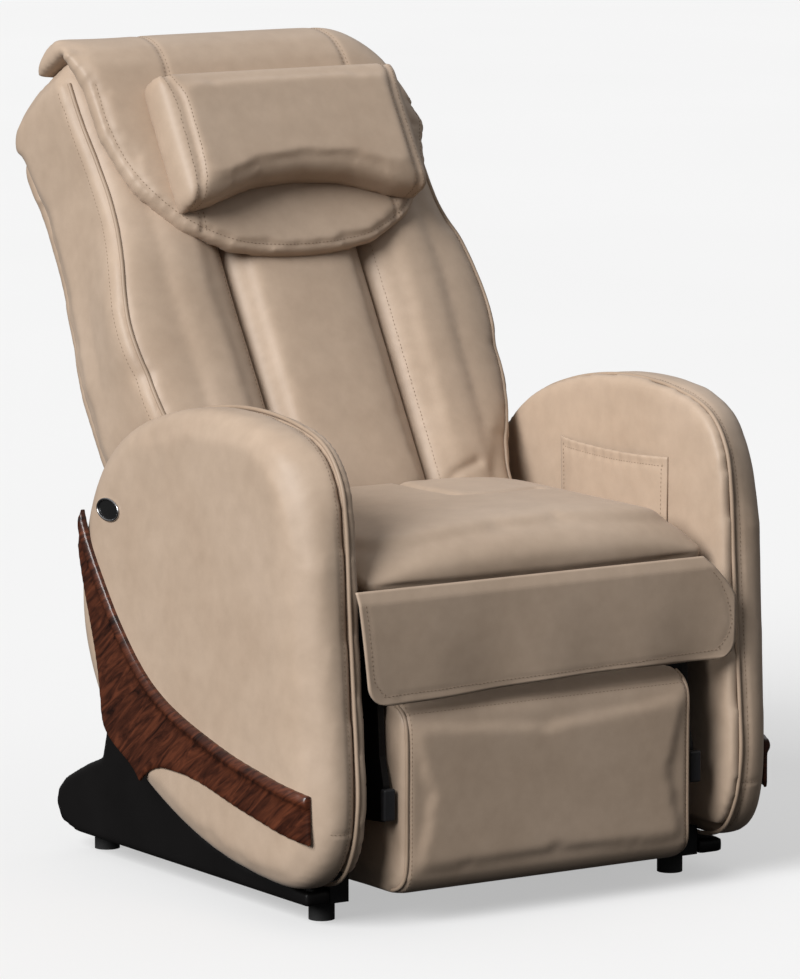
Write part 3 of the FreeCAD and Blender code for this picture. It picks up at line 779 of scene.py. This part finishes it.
def build_head():
    cover = copy_nodes("head_cap", ["head_cover"])
    inflate(cover, 0.0065, 0.006, rounding=12, sculpt=crown)
    hem = crown(hem_line(-0.05))
    groove(cover, np.array(snapped(cover, hem)[0]), 0.005, 0.0016)
    lines = [hem]
    for s in (-1, 1):
        seam = dense([back(s * x, d, z) for x, d, z in ((0.164, -0.05, 0.476), (0.158, -0.05, 0.60), (0.150, -0.048, 0.73),
                                                       (0.146, -0.01, 0.795), (0.144, 0.06, 0.812))], 0.004)
        seam = crown(seam)
        groove(cover, np.array(snapped(cover, seam)[0]), 0.005, 0.0022)
        for shift in (-0.005, 0.005):
            lines.append(seam + np.array([shift, 0, 0]))
    finish_piece(cover, MAT["upholstery"], "back")
    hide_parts("head_cover")
    stitches("head_cap_stitching", cover, lines, "back")

    pillow = copy_nodes("neck_pillow", ["head_pillow"])
    inflate(pillow, 0.007, 0.011, pressure=5, rounding=6, sculpt=pillow_form)
    lines = []
    for s in (-1, 1):
        loop = dense([back(s * 0.184, d, z) for d, z in
                      ((-0.055, 0.505), (-0.055, 0.60), (-0.055, 0.69), (-0.09, 0.705),
                       (-0.122, 0.66), (-0.124, 0.60), (-0.118, 0.52), (-0.09, 0.49))],
                     0.004, closed=True)
        loop = pillow_form(loop)
        groove(pillow, np.array(snapped(pillow, loop)[0]), 0.006, 0.0030)
        lines += [loop + np.array([-0.006, 0, 0]), loop + np.array([0.006, 0, 0])]
    finish_piece(pillow, MAT["upholstery"], "pillow")
    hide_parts("head_pillow")
    stitches("pillow_stitching", pillow, lines, "pillow")


# ---- leg rest -----------------------------------------------------------------------------
def build_ottoman():
    box = copy_nodes("ottoman_cover", ["ottoman_body"])
    inflate(box, 0.0075, 0.008, rounding=3)
    finish = []
    for s in (-1, 1):
        finish.append(dense([(s * 0.233, y, z) for y, z in ((-0.452, 0.306), (-0.474, 0.296), (-0.484, 0.27), (-0.485, 0.18),
                                                          (-0.484, 0.09), (-0.474, 0.06), (-0.448, 0.047))], 0.004))
    top = dense([(x, -0.478, 0.300) for x in np.linspace(-0.23, 0.23, 10)], 0.004)
    groove(box, np.array(snapped(box, top)[0]), 0.004, 0.002)
    lines = [top + np.array([0, 0, -0.008])]
    for s, line in zip((-1, 1), finish):
        groove(box, np.array(snapped(box, line)[0]), 0.005, 0.002)
        spots, _ = snapped(box, line, 0.0008)
        side = "left" if s < 0 else "right"
        piping = tube("ottoman_piping_" + side, smoothed(spots), 0.0028, MAT["piping"], "ottoman")
        lines.append(line + np.array([-s * 0.008, 0, 0]))
    finish_piece(box, MAT["upholstery"], "ottoman")
    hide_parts("ottoman_body")
    stitches("ottoman_stitching", box, lines, "ottoman")


def build_plastics():
    bags = copy_nodes("calf_bags", ["calf_airbags"])
    inflate(bags, 0.004, 0.0035, rounding=2)
    finish_piece(bags, MAT["airbag"], "ottoman")
    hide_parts("calf_airbags")
    for side in ("left", "right"):
        shell = copy_nodes("base_cover_" + side, ["outrigger_" + side])
        remesh(shell, 0.004)
        relax(shell, 0.5, 8)
        smooth_shade(shell)
        finish_piece(shell, MAT["black_plastic"], "chair")
        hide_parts("outrigger_" + side)


# ---- stage --------------------------------------------------------------------------------
LIGHTS = (("key", (-0.82, -0.24, 0.53), 4.3, 34),        # name, direction to it, strength, spread
          ("rim", (0.60, 0.30, 0.70), 0.25, 60))
CAMERA_AT, CAMERA_LENS, SENSOR = (-4.9528, -7.7078, 1.89), 240.4, 36
CAMERA_TURN, CAMERA_TILT = math.radians(-33.1), math.radians(8.5)
SKY = (-0.25, 0.7, 0.02, 0.42)           # lowest and highest direction, and the strength at each
FLOOR_REACH = 60


def build_stage():
    r = FLOOR_REACH
    floor = new_object("floor", [(-r, -r, 0), (r, -r, 0), (r, r, 0), (-r, r, 0)], [(0, 1, 2, 3)])
    n = Nodes("pale_floor")
    tone = n.ramp(n.noise(0.6, 2), 0, [(0.3, (0.39, 0.39, 0.39)), (0.7, (0.40, 0.40, 0.40))])
    n.link(tone, "Color", n.bsdf, "Base Color")
    n.fixed(Roughness=0.9, Specular_IOR_Level=0.0, Emission_Color=(1, 1, 1, 1), Emission_Strength=0.46)
    floor.data.materials.append(n.mat)
    floor.visible_diffuse = floor.visible_glossy = False
    world = bpy.data.worlds.new("studio")
    world.use_nodes = True
    tree = world.node_tree
    background = tree.nodes["Background"]
    background.inputs["Color"].default_value = (1, 1, 1, 1)
    sky, split, level = (tree.nodes.new("ShaderNode" + k) for k in ("TexCoord", "SeparateXYZ", "MapRange"))
    tree.links.new(sky.outputs["Generated"], split.inputs[0])
    tree.links.new(split.outputs["Z"], level.inputs[0])
    for i, value in enumerate(SKY, 1):
        level.inputs[i].default_value = value
    tree.links.new(level.outputs[0], background.inputs["Strength"])
    bpy.context.scene.world = world
    for name, rays, strength, spread in LIGHTS:
        light = bpy.data.lights.new(name, "SUN")
        light.energy, light.angle = strength, math.radians(spread)
        obj = bpy.data.objects.new(name, light)
        obj.location = Vector(rays) * 5
        obj.rotation_mode = "QUATERNION"
        obj.rotation_quaternion = Vector(rays).to_track_quat("Z", "Y")
        COLL.objects.link(obj)
    cam = bpy.data.cameras.new("camera")
    cam.sensor_width, cam.lens = SENSOR, CAMERA_LENS
    cam.clip_end = 100
    obj = bpy.data.objects.new("camera", cam)
    a, t = CAMERA_TURN, CAMERA_TILT
    obj.location = CAMERA_AT
    flat = Vector((math.sin(a), -math.cos(a), 0))
    rear = flat * math.cos(t) + Vector((0, 0, math.sin(t)))
    obj.rotation_mode = "QUATERNION"
    obj.rotation_quaternion = rear.to_track_quat("Z", "Y")
    COLL.objects.link(obj)
    bpy.context.scene.camera = obj
    bpy.context.scene.view_settings.view_transform = "Standard"


build_arm("left", -1)
build_arm("right", 1)
build_seat()
build_flap()
build_pocket()
build_back()
build_yoke()
build_head()
build_ottoman()
build_plastics()
build_stage()
